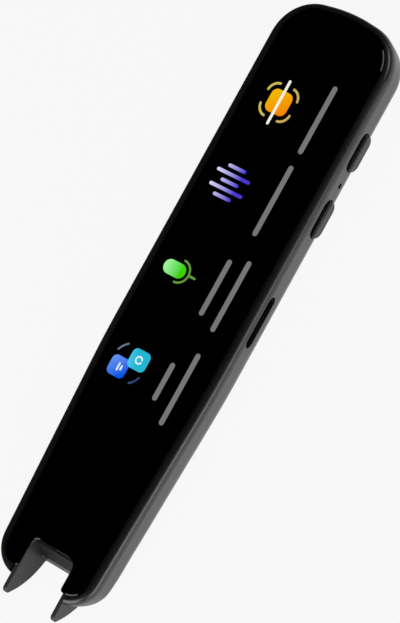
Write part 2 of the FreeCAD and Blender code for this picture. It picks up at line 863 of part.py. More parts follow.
def button(name, place):
    """A push button: a proud round-ended cap on a flange that stays inside the casing."""
    face = side_face("button_height") + value("button_proud")
    start = value("flange_back")
    cap = obround(f"{name}_cap", "flange_back", place, "button_height", "button_length", "button_width",
                  str(face - start))
    edges = []
    for number, edge in enumerate(cap.Shape.Edges, start=1):
        if all(abs(vertex.Point.x - face) < 1e-4 for vertex in edge.Vertexes):
            edges.append((number, value("button_edge_round"), value("button_edge_round")))
    soft = DOCUMENT.addObject("Part::Fillet", f"{name}_cap_soft")
    soft.Base = cap
    soft.Edges = edges
    flange = obround(f"{name}_flange", "flange_back", place, "button_height", "button_length",
                     "button_width", "button_flange_thickness", grow="button_flange")
    return fuse(name, soft, flange)


def fork_profile():
    """The fork's outline seen from the side, as a wire in the YZ plane at X = 0."""
    front, floor = value("fork_front"), value("fork_floor_height")
    back_end, step = value("fork_back_end"), value("fork_step_end")
    belly_y, belly_z = value("fork_belly_end"), value("fork_belly_height")
    tip_y, radius = value("fork_tip_end"), value("fork_tip_radius")
    front_tip = point(0, tip_y + radius, front)
    slant = radius * (1 - math.cos(math.radians(45)))
    shoulder = point(0, tip_y + slant, front - slant)
    nose = point(0, tip_y, front - radius)
    belly = point(0, belly_y, belly_z)
    chord = nose - belly
    normal = point(0, chord.z, -chord.y).normalize()
    if normal.z > 0:
        normal = normal * -1
    bulge = (belly + nose) * 0.5 + normal * value("fork_belly_bulge")
    rise = belly_z + value("fork_step_height")
    inside = step + value("fork_step_length")
    edges = [
        Part.LineSegment(point(0, back_end, front), front_tip).toShape(),
        Part.Arc(front_tip, shoulder, nose).toShape(),
        Part.Arc(nose, bulge, belly).toShape(),
        Part.LineSegment(belly, point(0, step, rise)).toShape(),
        Part.LineSegment(point(0, step, rise), point(0, inside, floor)).toShape(),
        Part.LineSegment(point(0, inside, floor), point(0, back_end, floor)).toShape(),
        Part.LineSegment(point(0, back_end, floor), point(0, back_end, front)).toShape(),
    ]
    return Part.Wire(edges)


def slanted_slab(half, offset_near, offset_far):
    """A slab between two planes parallel to the slanted scan window, between the fins."""
    top_z, low_z = value("casing_thickness"), value("fork_belly_height")
    top_y, low_y = value("window_top_end"), value("window_low_end")
    slope = (top_y - low_y) / (top_z - low_z)
    under, over = -1.0, value("fork_front") + 1

    def line_y(z, offset):
        return low_y + (z - low_z) * slope + offset

    corners = [
        (line_y(under, offset_near), under), (line_y(over, offset_near), over),
        (line_y(over, offset_far), over), (line_y(under, offset_far), under),
    ]
    points = [point(-half, y, z) for y, z in corners]
    return Part.Face(Part.makePolygon(points + points[:1])).extrude(point(2 * half, 0, 0))


def scan_fork():
    """The sprung fork: two thin fins, a floor between them and a rim at the back."""
    half, inner = value("fork_width") / 2, value("fin_inner")
    wire = fork_profile()
    wire.translate(point(-half, 0, 0))
    blank = Part.Face(wire).extrude(point(2 * half, 0, 0))
    mouth = slanted_slab(inner, -20, 0)
    wall = value("window_thickness")
    floor_top = value("fork_floor_height") + value("fork_floor_thickness")
    above = Part.makeBox(40, 60, 20, point(-20, -90, floor_top))
    seat = slanted_slab(inner, -0.001, wall).common(above)
    room = Part.makeBox(2 * inner, 40, 20, point(-inner, value("window_low_end") + wall, floor_top))
    return feature("scan_fork", blank.cut(mouth.fuse(seat).fuse(room)))


def scan_window():
    """The smoked window that leans between the fins in front of the camera."""
    inner = value("fin_inner")
    floor_top = value("fork_floor_height") + value("fork_floor_thickness")
    slab = slanted_slab(inner, 0, value("window_thickness"))
    room = Part.makeBox(40, 60, value("fork_front") - floor_top, point(-20, -90, floor_top))
    return feature("scan_window", slab.common(room))


def fork_springs():
    """Two small coil springs that push the fork out."""
    wire = value("spring_wire")
    radius = value("spring_radius")
    start, end = value("fork_back_end"), value("bay_end")
    length = end - start - wire
    pitch = length / value("spring_turns")
    coils = []
    for side in (-1, 1):
        helix = Part.makeHelix(pitch, length, radius)
        ring = Part.Wire([Part.makeCircle(wire / 2, point(radius, 0, 0), point(0, 1, 0))])
        coil = Part.Wire(helix.Edges).makePipeShell([ring], True, True)
        coil.rotate(point(0, 0, 0), point(1, 0, 0), -90)
        middle = side * value("fin_inner + fin_thickness / 2")
        coil.translate(point(middle, start + wire / 2, value("spring_height")))
        coils.append(coil)
    return feature("fork_springs", Part.makeCompound(coils))


def camera_parts():
    """The camera, its lens and board, two lamps and the switch that the fork presses."""
    face = "camera_board_place"
    level = "camera_axis_height"
    board = centred_block("camera_board", "0", f"{face} + camera_board_thickness / 2", "camera_board_level",
                          "camera_board_width", "camera_board_thickness", "camera_board_height")
    body = centred_block("camera_body", "0", f"{face} - camera_length / 2", f"{level} - camera_height / 2",
                         "camera_width", "camera_length", "camera_height")
    lens = rod("camera_lens", "y", "0", f"{face} - camera_length - camera_lens_length", level,
               "camera_lens_radius", "camera_lens_length")
    lamps = group(
        "scan_lamps",
        *[
            centred_block(f"scan_lamp_{side + 1}", f"{side} * (camera_width / 2 + lamp_width / 2 + lamp_gap)",
                          f"{face} - lamp_length / 2", level, "lamp_width", "lamp_length", "lamp_height")
            for side in (-1, 1)
        ],
    )
    switch = block("tip_switch", "camera_width / 2 + lamp_gap", "fork_pressed_end + tip_switch_gap",
                   "camera_board_level", "tip_switch_width", f"{face} - fork_pressed_end - tip_switch_gap",
                   "tip_switch_height")
    return [board, body, lens, lamps, switch]


def socket_parts():
    """The charging port with its tongue and the memory card socket."""
    end = "port_face"
    shell = cut(
        "usb_receptacle",
        port_solid("usb_blank", f"{end} - port_depth", "0", "port_depth"),
        port_solid("usb_mouth", f"{end} - port_depth + 1", "-port_wall", "port_depth"),
    )
    tongue = block("usb_tongue", "-tongue_width / 2", f"{end} - port_depth + 1",
                   "port_level - tongue_thickness / 2", "tongue_width", "port_depth - 1 - tongue_recess",
                   "tongue_thickness")
    x = "half_width - 3.0 - card_socket_depth"
    card = cut(
        "card_socket",
        block("card_blank", x, "slot_place - slot_length / 2 + card_socket_margin", "board_top",
              "card_socket_depth", "slot_length - 2 * card_socket_margin", "card_socket_thickness"),
        block("card_mouth", f"{x} + 1", "slot_place - slot_length / 2 + card_socket_margin + card_socket_wall",
              "board_top + card_socket_wall", "card_socket_depth",
              "slot_length - 2 * card_socket_margin - 2 * card_socket_wall",
              "card_socket_thickness - 2 * card_socket_wall"),
    )
    return [shell, tongue, card]


def check_and_export(parts):
    """Stop if anything failed, then write each piece to its own file."""
    DOCUMENT.recompute()
    for thing in DOCUMENT.Objects:
        if "Invalid" in thing.State or "Error" in thing.State:
            raise RuntimeError(f"{thing.Label} failed: {thing.State}")
    os.makedirs("parts", exist_ok=True)
    for part in parts:
        shape = part.Shape
        if shape.isNull() or not shape.isValid() or not shape.Solids:
            raise RuntimeError(f"{part.Label} has no valid solid")
        shape.exportStep(f"parts/{part.Label}.step")
        print(f"{part.Label}: {len(shape.Solids)} solids, {shape.Volume:.2f} mm3")


def main():
    """Build every piece and write the files."""
    fill_sheet()
    parts = [casing_shell(), cover_glass(), glass_adhesive()]
    parts += display_parts()
    parts += main_board_parts()
    parts += battery_parts()
    parts += speaker_parts()
    parts += key_parts()
    parts.append(button("power_button", "power_button_place"))
    parts.append(button("record_button", "record_button_place"))
    parts += [scan_fork(), scan_window(), fork_springs()]
    parts += camera_parts()
    parts += socket_parts()
    check_and_export(parts)


main()
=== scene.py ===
"""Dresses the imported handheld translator: finishes, lit screen, trim, floor, light and camera.

Every length in the classes is in millimetres in the row frame (+X button side, +Y loudspeaker
end, +Z out of the screen). Blender works in metres, so meshes are built through mm().
"""
from __future__ import annotations

import json
import logging
import math
from dataclasses import dataclass
from enum import Enum
from typing import Callable, Sequence, Union

import bmesh
import bpy
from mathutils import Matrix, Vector

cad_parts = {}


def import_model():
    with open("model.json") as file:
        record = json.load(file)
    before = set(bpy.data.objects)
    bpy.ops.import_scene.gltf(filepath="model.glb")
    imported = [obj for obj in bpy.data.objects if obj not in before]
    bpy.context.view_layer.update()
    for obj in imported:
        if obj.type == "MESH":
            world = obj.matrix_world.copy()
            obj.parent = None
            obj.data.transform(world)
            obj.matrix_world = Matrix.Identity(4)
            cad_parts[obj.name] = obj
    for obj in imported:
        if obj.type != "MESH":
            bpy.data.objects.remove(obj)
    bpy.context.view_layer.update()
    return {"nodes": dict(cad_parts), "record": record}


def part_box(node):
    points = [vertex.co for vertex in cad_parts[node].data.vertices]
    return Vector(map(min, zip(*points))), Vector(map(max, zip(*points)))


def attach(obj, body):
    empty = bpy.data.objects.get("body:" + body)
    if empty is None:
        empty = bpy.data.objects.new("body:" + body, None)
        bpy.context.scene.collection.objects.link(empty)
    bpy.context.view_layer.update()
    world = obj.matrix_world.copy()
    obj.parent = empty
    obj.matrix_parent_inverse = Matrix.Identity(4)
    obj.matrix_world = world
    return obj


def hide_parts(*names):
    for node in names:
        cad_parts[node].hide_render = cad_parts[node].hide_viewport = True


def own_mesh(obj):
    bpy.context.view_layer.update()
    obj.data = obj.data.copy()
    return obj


LOG = logging.getLogger("translator")
MILLIMETRE = 0.001
FULL_TURN = 2 * math.pi
WHITE = (1.0, 1.0, 1.0)

Colour = tuple[float, float, float]
Spot = tuple[float, float]
Point = tuple[float, float, float]


def mm(*values: float) -> tuple[float, ...]:
    """Millimetres to metres.

    Args:
        values: lengths in millimetres.

    Returns:
        The same lengths in metres.
    """
    return tuple(value * MILLIMETRE for value in values)


# ---------------------------------------------------------------- shader maths


class Signal:
    """A shader socket that takes part in Python arithmetic."""

    def __init__(self, shader: "Shader", socket: bpy.types.NodeSocket) -> None:
        """Wrap a socket of a shader's tree."""
        self.shader = shader
        self.socket = socket

    def math(self, operation: str, *others: Union["Signal", float]) -> "Signal":
        """A Math node on this value.

        Args:
            operation: Blender's name of the operation.
            others: the other operands.

        Returns:
            The node's output.
        """
        return self.shader.node("ShaderNodeMath", {"operation": operation}, [self, *others])

    def __add__(self, other: Union["Signal", float]) -> "Signal":
        """Sum."""
        return self.math("ADD", other)

    def __radd__(self, other: float) -> "Signal":
        """Reflected sum."""
        return self.math("ADD", other)

    def __sub__(self, other: Union["Signal", float]) -> "Signal":
        """Difference."""
        return self.math("SUBTRACT", other)

    def __rsub__(self, other: float) -> "Signal":
        """Reflected difference."""
        return self.shader.node("ShaderNodeMath", {"operation": "SUBTRACT"}, [other, self])

    def __mul__(self, other: Union["Signal", float]) -> "Signal":
        """Product."""
        return self.math("MULTIPLY", other)

    def between(self, low: float, high: float) -> "Signal":
        """0 up to low, 1 from high on, smooth between them."""
        settings = {"interpolation_type": "SMOOTHSTEP"}
        inputs = {"Value": self, "From Min": low, "From Max": high}
        return self.shader.node("ShaderNodeMapRange", settings, inputs)


class Shader:
    """Builds the node tree of one material or world."""

    def __init__(
        self,
        owner: Union[bpy.types.Material, bpy.types.World],
        surface: str = "Principled BSDF",
    ) -> None:
        """Start on an owner's tree.

        Args:
            owner: the material or world.
            surface: the name of its main node.
        """
        owner.use_nodes = True
        self.owner = owner
        self.tree = owner.node_tree
        self.surface = self.tree.nodes[surface]

    @classmethod
    def named(cls, name: str) -> "Shader":
        """Start a new material."""
        return cls(bpy.data.materials.new(name))

    def node(
        self,
        kind: str,
        settings: dict[str, object],
        inputs: Union[dict[str, object], Sequence[object]],
        output: Union[int, str] = 0,
    ) -> Signal:
        """Add a node: settings first, then values or links.

        Args:
            kind: the node's type name.
            settings: attributes such as operation, set before the sockets.
            inputs: values or signals by socket name, or in socket order.
            output: which output comes back.

        Returns:
            The chosen output.
        """
        made = self.tree.nodes.new(kind)
        for key, setting in settings.items():
            setattr(made, key, setting)
        pairs = inputs.items() if isinstance(inputs, dict) else enumerate(inputs)
        for key, value in pairs:
            self.feed(made.inputs[key], value)
        return Signal(self, made.outputs[output])

    def feed(self, socket: bpy.types.NodeSocket, value: object) -> None:
        """Link a signal to a socket, or set its value."""
        if isinstance(value, Signal):
            self.tree.links.new(value.socket, socket)
        else:
            socket.default_value = value

    def ramp(self, factor: Signal, stops: Sequence[tuple[float, Colour]]) -> Signal:
        """A colour ramp.

        Args:
            factor: where on the ramp to read.
            stops: places and colours in rising order.

        Returns:
            The ramp's colour.
        """
        made = self.tree.nodes.new("ShaderNodeValToRGB")
        elements = made.color_ramp.elements
        while len(elements) < len(stops):
            elements.new(1.0)
        for element, (place, colour) in zip(elements, stops):
            element.position = place
            element.color = (*colour, 1.0)
        self.feed(made.inputs["Fac"], factor)
        return Signal(self, made.outputs["Color"])

    def mix(self, factor: Union[Signal, float], low: object, high: object) -> Signal:
        """A colour between two colours."""
        made = self.tree.nodes.new("ShaderNodeMix")
        made.data_type = "RGBA"
        self.feed(made.inputs["Factor"], factor)
        for socket, value in ((made.inputs[6], low), (made.inputs[7], high)):
            self.feed(socket, value if isinstance(value, Signal) else (*value, 1.0))
        return Signal(self, made.outputs[2])

    def place(self) -> Signal:
        """Object coordinates."""
        return self.node("ShaderNodeTexCoord", {}, {}, "Object")

    def along(self, axis: str) -> Signal:
        """One object coordinate, in millimetres."""
        split = self.node("ShaderNodeSeparateXYZ", {}, [self.place()], axis)
        return split * (1 / MILLIMETRE)

    def noise(self, size: float, detail: float = 2.0, stretch: Colour = (1.0, 1.0, 1.0)) -> Signal:
        """Noise whose lumps are about a given size.

        Args:
            size: a lump's size in millimetres.
            detail: how many finer layers it has.
            stretch: scale along each axis.

        Returns:
            A value between 0 and 1.
        """
        spread = self.node("ShaderNodeMapping", {}, {"Vector": self.place(), "Scale": stretch})
        scale = 1 / (size * MILLIMETRE)
        inputs = {"Vector": spread, "Scale": scale, "Detail": detail}
        return self.node("ShaderNodeTexNoise", {}, inputs)

    def bump(self, height: Signal, depth: float) -> Signal:
        """A normal that follows a height.

        Args:
            height: a value whose unit stands depth high.
            depth: the height of one unit, in millimetres.

        Returns:
            The bent normal.
        """
        values = {"Height": height, "Strength": 1.0, "Distance": depth * MILLIMETRE}
        return self.node("ShaderNodeBump", {}, values)

    def set(self, **values: object) -> None:
        """Set or link the surface's sockets, named with underscores for spaces."""
        for key, value in values.items():
            socket = self.surface.inputs[key.replace("_", " ")]
            if isinstance(value, tuple) and len(value) == 3:
                value = (*value, 1.0)
            self.feed(socket, value)


# -------------------------------------------------------------------- finishes


def shade(colour: Colour, share: float) -> Colour:
    """A colour made lighter or darker."""
    return tuple(channel * share for channel in colour)


@dataclass(frozen=True)
class MouldedPlastic:
    """Fine-sparked moulded plastic with a soft sheen.

    A crown bends the shading over a middle height, as a domed key cap's face does.
    """

    name: str
    colour: Colour
    roughness: float = 0.42
    grain: float = 0.22
    grain_depth: float = 0.004
    sheen_level: float = 0.5
    crown: float = 0.0
    crown_height: float = 6.7
    cloud_size: float = 9.0
    darkest: float = 0.86
    lightest: float = 1.22
    cloud_polish: float = 0.07
    grain_polish: float = 0.05

    def make(self) -> bpy.types.Material:
        """The finished material."""
        shader = Shader.named(self.name)
        clouds = shader.noise(self.cloud_size, 3.0)
        grain = shader.noise(self.grain, 1.0)
        dark, light = (shade(self.colour, share) for share in (self.darkest, self.lightest))
        tint = shader.mix(clouds, dark, light)
        smoothest = self.roughness - (self.cloud_polish + self.grain_polish) / 2
        polish = clouds * self.cloud_polish + grain * self.grain_polish + smoothest
        relief = grain * self.grain_depth
        if self.crown:
            off_middle = shader.along("Z") - self.crown_height
            relief = relief - off_middle * off_middle * self.crown
        shader.set(Base_Color=tint, Roughness=polish, Normal=shader.bump(relief, 1.0))
        shader.set(Specular_IOR_Level=self.sheen_level)
        return shader.owner


@dataclass(frozen=True)
class BlackGlass:
    """Polished glass with a black back, with faint wipe marks in its gloss."""

    name: str
    colour: Colour = (0.0, 0.0, 0.0)
    roughness: float = 0.035
    level: float = 0.4
    wipe_size: float = 14.0
    wipe_stretch: Colour = (1.0, 0.35, 1.0)
    wipe_range: Spot = (0.45, 0.8)
    wipe_tint: float = 1.6
    wipe_polish: float = 0.03

    def make(self) -> bpy.types.Material:
        """The finished material."""
        shader = Shader.named(self.name)
        wipes = shader.noise(self.wipe_size, 4.0, self.wipe_stretch).between(*self.wipe_range)
        shader.set(Base_Color=shader.mix(wipes, self.colour, shade(self.colour, self.wipe_tint)))
        shader.set(Roughness=wipes * self.wipe_polish + self.roughness)
        shader.set(Specular_IOR_Level=self.level)
        return shader.owner


@dataclass(frozen=True)
class LitInk:
    """A lit patch of the screen, shaded from one colour to another along a line."""

    name: str
    first: Colour
    last: Colour
    start: Spot
    end: Spot
    strength: float = 0.9
    level: float = 0.3
    roughness: float = 0.05
    smear_size: float = 6.0
    smear: float = 0.02

    def make(self) -> bpy.types.Material:
        """The finished material."""
        shader = Shader.named(self.name)
        run = (self.end[0] - self.start[0], self.end[1] - self.start[1])
        square = run[0] ** 2 + run[1] ** 2
        across = (shader.along("X") - self.start[0]) * (run[0] / square)
        share = across + (shader.along("Y") - self.start[1]) * (run[1] / square)
        colour = shader.ramp(share, [(0.0, self.first), (1.0, self.last)])
        gloss = self.roughness + shader.noise(self.smear_size) * self.smear
        shader.set(Base_Color=(0.0, 0.0, 0.0), Roughness=gloss, Specular_IOR_Level=self.level)
        shader.set(Emission_Color=colour, Emission_Strength=self.strength)
        return shader.owner


@dataclass(frozen=True)
class SatinMetal:
    """Rolled or drawn metal with fine lines along one axis."""

    name: str
    colour: Colour
    roughness: float = 0.32
    line_size: float = 0.5
    stretch: Colour = (6.0, 0.4, 6.0)
    dullest: float = 0.8
    line_polish: float = 0.14
    line_depth: float = 0.002

    def make(self) -> bpy.types.Material:
        """The finished material."""
        shader = Shader.named(self.name)
        lines = shader.noise(self.line_size, 3.0, self.stretch)
        tint = shader.mix(lines, shade(self.colour, self.dullest), self.colour)
        polish = lines * self.line_polish + (self.roughness - self.line_polish / 2)
        shader.set(Base_Color=tint, Metallic=1.0)
        shader.set(Roughness=polish, Normal=shader.bump(lines, self.line_depth))
        return shader.owner


@dataclass(frozen=True)
class BoardLaminate:
    """Green solder mask over faint copper tracks."""

    name: str
    mask: Colour = (0.012, 0.07, 0.03)
    track: Colour = (0.03, 0.14, 0.05)
    pitch: float = 1.6
    track_edge: Spot = (0.32, 0.36)
    track_depth: float = 0.02
    roughness: float = 0.3
    haze: float = 0.1

    def make(self) -> bpy.types.Material:
        """The finished material."""
        shader = Shader.named(self.name)
        inputs = {"Vector": shader.place(), "Scale": 1 / (self.pitch * MILLIMETRE)}
        cells = shader.node("ShaderNodeTexVoronoi", {"distance": "CHEBYCHEV"}, inputs)
        tracks = cells.between(*self.track_edge)
        shader.set(Base_Color=shader.mix(tracks, self.track, self.mask))
        shader.set(Roughness=self.roughness + shader.noise(1.0) * self.haze)
        shader.set(Normal=shader.bump(tracks, -self.track_depth))
        return shader.owner


@dataclass(frozen=True)
class WovenCloth:
    """Close-woven acoustic mesh."""

    name: str
    colour: Colour = (0.02, 0.02, 0.022)
    pitch: float = 0.28
    hollow: float = 0.25
    roughness: float = 0.95
    thread_polish: float = 0.2
    thread_depth: float = 0.05

    def make(self) -> bpy.types.Material:
        """The finished material."""
        shader = Shader.named(self.name)
        turns = FULL_TURN / self.pitch
        warp = (shader.along("X") * turns).math("SINE")
        weft = (shader.along("Y") * turns).math("SINE")
        weave = warp * weft * 0.5 + 0.5
        shader.set(Base_Color=shader.mix(weave, shade(self.colour, self.hollow), self.colour))
        shader.set(Roughness=self.roughness - weave * self.thread_polish)
        shader.set(Normal=shader.bump(weave, self.thread_depth))
        return shader.owner


# ------------------------------------------------------------------- modelling


def deselect() -> None:
    """Leave object mode with nothing selected."""
    if bpy.context.object and bpy.context.object.mode != "OBJECT":
        bpy.ops.object.mode_set(mode="OBJECT")
    bpy.ops.object.select_all(action="DESELECT")


def name_active(name: str) -> bpy.types.Object:
    """Name the active object and its mesh."""
    piece = bpy.context.object
    piece.name = name
    piece.data.name = name
    return piece


def settle(piece: bpy.types.Object) -> bpy.types.Object:
    """Put a piece's place into its mesh, with its object at the origin."""
    deselect()
    piece.select_set(True)
    bpy.context.view_layer.objects.active = piece
    bpy.ops.object.transform_apply(location=True, rotation=True, scale=True)
    return piece


def dress(piece: bpy.types.Object, material: bpy.types.Material) -> None:
    """Give a piece one material all over."""
    piece.data.materials.clear()
    piece.data.materials.append(material)


def select_edges(piece: bpy.types.Object, test: Callable[[bmesh.types.BMEdge], bool]) -> None:
    """Select in edit mode the edges that pass a test."""
    mesh = bmesh.from_edit_mesh(piece.data)
    for edge in mesh.edges:
        if test(edge):
            edge.select_set(True)
    bmesh.update_edit_mesh(piece.data)


def upright_at(edge: bmesh.types.BMEdge, turns: Sequence[float]) -> bool:
    """Whether an edge stands along Z at one of the given angles about the origin."""
    first, last = (vertex.co for vertex in edge.verts)
    if (first.xy - last.xy).length > 1e-7:
        return False
    angle = math.atan2(first.y, first.x)
    return any(abs((angle - turn + math.pi) % FULL_TURN - math.pi) < 1e-3 for turn in turns)


def join(name: str, pieces: Sequence[bpy.types.Object]) -> bpy.types.Object:
    """One object from several."""
    deselect()
    for piece in pieces:
        piece.select_set(True)
    bpy.context.view_layer.objects.active = pieces[0]
    if len(pieces) > 1:
        bpy.ops.object.join()
    return name_active(name)


def close_plate(piece: bpy.types.Object, thickness: float) -> bpy.types.Object:
    """Give a flat outline face a thickness below it, as a closed form.

    Args:
        piece: a flat mesh that faces +Z.
        thickness: how thick it becomes, in millimetres.

    Returns:
        The same piece, settled.
    """
    deselect()
    bpy.context.view_layer.objects.active = piece
    bpy.ops.object.mode_set(mode="EDIT")
    bpy.ops.mesh.select_all(action="SELECT")
    bpy.ops.mesh.extrude_region_move(TRANSFORM_OT_translate={"value": mm(0, 0, -thickness)})
    bpy.ops.mesh.select_all(action="SELECT")
    bpy.ops.mesh.normals_make_consistent(inside=False)
    bpy.ops.object.mode_set(mode="OBJECT")
    return settle(piece)


@dataclass(frozen=True)
class Patch:
    """Makes thin flat shapes that lie on the glass."""

    level: float
    thickness: float = 0.03
    corner_steps: int = 6
    half_turn_steps: int = 28
    least_steps: int = 6
    fullest_corner: float = 0.995
    fullest_end: float = 0.98

    def rounded(
        self, name: str, centre: Spot, size: Spot, radius: float
    ) -> bpy.types.Object:
        """A rounded rectangle.

        Args:
            name: the piece's name.
            centre: its middle, x and y.
            size: its extent along X and Y.
            radius: its corner radius.

        Returns:
            The closed thin plate.
        """
        deselect()
        bpy.ops.mesh.primitive_plane_add(size=MILLIMETRE, location=mm(*centre, self.level))
        piece = name_active(name)
        piece.scale = (size[0], size[1], 1.0)
        settle(piece)
        bpy.ops.object.mode_set(mode="EDIT")
        bpy.ops.mesh.select_all(action="SELECT")
        slide = min(radius, min(size) / 2 * self.fullest_corner) * MILLIMETRE
        bpy.ops.mesh.bevel(offset=slide, segments=self.corner_steps, affect="VERTICES")
        bpy.ops.object.mode_set(mode="OBJECT")
        return close_plate(piece, self.thickness)

    def arc(
        self,
        name: str,
        centre: Spot,
        radius: float,
        width: float,
        start: float,
        sweep: float,
    ) -> bpy.types.Object:
        """A round-ended arc stroke.

        Args:
            name: the piece's name.
            centre: the arc's centre, x and y.
            radius: the radius of its middle line.
            width: the stroke's width.
            start: the angle where it begins, in degrees from +X towards +Y.
            sweep: how far it turns, in degrees.

        Returns:
            The closed thin stroke.
        """
        deselect()
        turn = math.radians(sweep)
        level = self.level - self.thickness / 2
        bpy.ops.mesh.primitive_plane_add(size=MILLIMETRE, location=mm(radius, 0, level))
        piece = name_active(name)
        piece.rotation_euler = (math.pi / 2, 0.0, 0.0)
        piece.scale = (width, self.thickness, 1.0)
        settle(piece)
        bpy.ops.object.mode_set(mode="EDIT")
        bpy.ops.mesh.select_all(action="SELECT")
        steps = max(self.least_steps, round(self.half_turn_steps * abs(turn) / math.pi))
        bpy.ops.mesh.spin(steps=steps, angle=-turn, center=mm(0, 0, level), axis=(0, 0, 1))
        bpy.ops.mesh.select_all(action="DESELECT")
        select_edges(piece, lambda edge: upright_at(edge, (0.0, turn)))
        slide = width / 2 * self.fullest_end * MILLIMETRE
        bpy.ops.mesh.bevel(offset=slide, segments=self.corner_steps, affect="EDGES")
        bpy.ops.mesh.select_all(action="SELECT")
        bpy.ops.mesh.normals_make_consistent(inside=False)
        bpy.ops.object.mode_set(mode="OBJECT")
        piece.rotation_euler = (0.0, 0.0, math.radians(start))
        piece.location = mm(*centre, 0)
        return settle(piece)


# ---------------------------------------------------------------- sub-assemblies


class Finish(Enum):
    """The finishes, by the record's material slot."""

    CASING = MouldedPlastic(
        "casing_plastic", (0.0095, 0.0095, 0.01), roughness=0.31, sheen_level=0.7
    )
    BUTTON = MouldedPlastic("button_plastic", (0.004, 0.004, 0.0045), roughness=0.28, crown=0.6)
    FORK = MouldedPlastic(
        "fork_plastic", (0.045, 0.045, 0.046), roughness=0.3, grain_depth=0.002
    )
    INNER = MouldedPlastic("inner_plastic", (0.03, 0.03, 0.033))
    RESIN = MouldedPlastic("chip_resin", (0.02, 0.02, 0.021), roughness=0.55)
    CERAMIC = MouldedPlastic("ceramic", (0.7, 0.7, 0.66), roughness=0.35)
    SEAL = MouldedPlastic("seal_rubber", (0.018, 0.018, 0.018), roughness=0.7)
    TAPE = MouldedPlastic("adhesive", (0.01, 0.01, 0.01), roughness=0.8)
    FLEX = MouldedPlastic("flex_film", (0.36, 0.16, 0.03), roughness=0.3)
    WRAP = MouldedPlastic("battery_film", (0.3, 0.31, 0.33), roughness=0.3)
    GLASS = BlackGlass("cover_glass")
    WINDOW = BlackGlass("smoked_window", (0.02, 0.02, 0.021), roughness=0.55, level=0.08)
    LENS = BlackGlass("lens_glass", (0.01, 0.01, 0.018), roughness=0.02)
    DISPLAY = BlackGlass("display_stack", (0.008, 0.008, 0.01), roughness=0.12)
    STEEL = SatinMetal("bright_steel", (0.55, 0.55, 0.56))
    LAMINATE = BoardLaminate("board_laminate")
    CLOTH = WovenCloth("mesh_cloth")


class Finishes:
    """Makes each finish once."""

    def __init__(self) -> None:
        """Start with none made."""
        self.made: dict[Finish, bpy.types.Material] = {}

    def get(self, finish: Finish) -> bpy.types.Material:
        """The material of a finish."""
        if finish not in self.made:
            self.made[finish] = finish.value.make()
        return self.made[finish]


@dataclass
class PackedFrame:
    """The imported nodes, dressed by their slots."""

    nodes: dict[str, bpy.types.Object]
    record: dict[str, object]
    finishes: Finishes

    def dress_all(self) -> None:
        """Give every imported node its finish."""
        slots = {entry["node"]: entry["material_slot"] for entry in self.record["subparts"]}
        by_slot = {finish.value.name: finish for finish in Finish}
        for name, node in self.nodes.items():
            dress(node, self.finishes.get(by_slot[slots[name]]))
        LOG.info("dressed %d packed nodes", len(self.nodes))


@dataclass
class Softening:
    """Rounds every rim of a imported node, as a moulding's are, with two modifiers."""

    node: bpy.types.Object
    cell: float = 0.16
    passes: int = 6
    strength: float = 0.5

    def build(self) -> None:
        """Rebuild the skin in fine cells, then relax it."""
        skin = self.node.modifiers.new("even_skin", "REMESH")
        skin.mode = "VOXEL"
        skin.voxel_size = self.cell * MILLIMETRE
        skin.use_smooth_shade = True
        relax = self.node.modifiers.new("soft_rims", "SMOOTH")
        relax.factor = self.strength
        relax.iterations = self.passes
        LOG.info("softened %s", self.node.name)


@dataclass
class ForkSprings:
    """The fork's two springs, copied to ride on the casing. The real springs shorten as the fork
    goes in; this copy keeps its length.
    """

    node: bpy.types.Object
    joint: str = "scan_press"
    travel: float = 1.0
    fixed_end: float = -49.5

    def build(self) -> bpy.types.Object:
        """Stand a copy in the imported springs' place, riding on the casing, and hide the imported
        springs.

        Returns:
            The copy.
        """
        deselect()
        self.node.select_set(True)
        bpy.context.view_layer.objects.active = self.node
        bpy.ops.object.duplicate()
        springs = name_active("fork_springs_live")
        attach(springs, "casing")
        mm(0, self.fixed_end, 0)
        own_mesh(springs)
        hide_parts(self.node.name)
        return springs


@dataclass
class Icon:
    """A lit picture on the glass, made of thin patches that ride on the casing."""

    patch: Patch
    raised: Patch
    body: str = "casing"
    slot: str = "display_stack"

    def keep(self, piece: bpy.types.Object, ink: LitInk) -> None:
        """Dress a piece with ink and let it ride on the body.

        Args:
            piece: the finished patch.
            ink: what it is lit with.
        """
        dress(piece, ink.make())
        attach(piece, self.body)

    def build(self) -> None:
        """Make the icon's patches."""
        raise NotImplementedError


@dataclass
class FrameIcon(Icon):
    """An orange tile in four brackets with a white line across."""

    centre: Spot = (-5.15, 51.95)
    tile: Spot = (6.1, 5.8)
    tile_corner: float = 1.6
    bracket_offset: Spot = (1.75, 1.55)
    bracket_radius: float = 2.62
    bracket_stroke: float = 0.58
    line: Spot = (0.72, 11.6)

    def build(self) -> None:
        """Make the tile, its brackets and its line."""
        x, y = self.centre
        tile = self.patch.rounded("tile_orange", self.centre, self.tile, self.tile_corner)
        near, far = (x - 2.6, y + 2.6), (x + 2.6, y - 2.6)
        self.keep(tile, LitInk("ink_orange", (1.0, 0.56, 0.0), (1.0, 0.24, 0.0), near, far))
        brackets = []
        for turn, east, north in ((0, 1, 1), (90, -1, 1), (180, -1, -1), (270, 1, -1)):
            corner = (x + self.bracket_offset[0] * east, y + self.bracket_offset[1] * north)
            brackets.append(
                self.patch.arc(
                    f"bracket_{turn}", corner, self.bracket_radius, self.bracket_stroke, turn, 90
                )
            )
        ink = LitInk("ink_gold", (0.66, 0.56, 0.1), (0.62, 0.45, 0.12), (x - 4, y), (x + 4, y))
        self.keep(join("tile_brackets", brackets), ink)
        line = self.raised.rounded("tile_line", self.centre, self.line, self.line[0] / 2)
        cream = (1.0, 0.98, 0.86)
        self.keep(line, LitInk("ink_white", cream, cream, self.centre, (x + 1, y)))


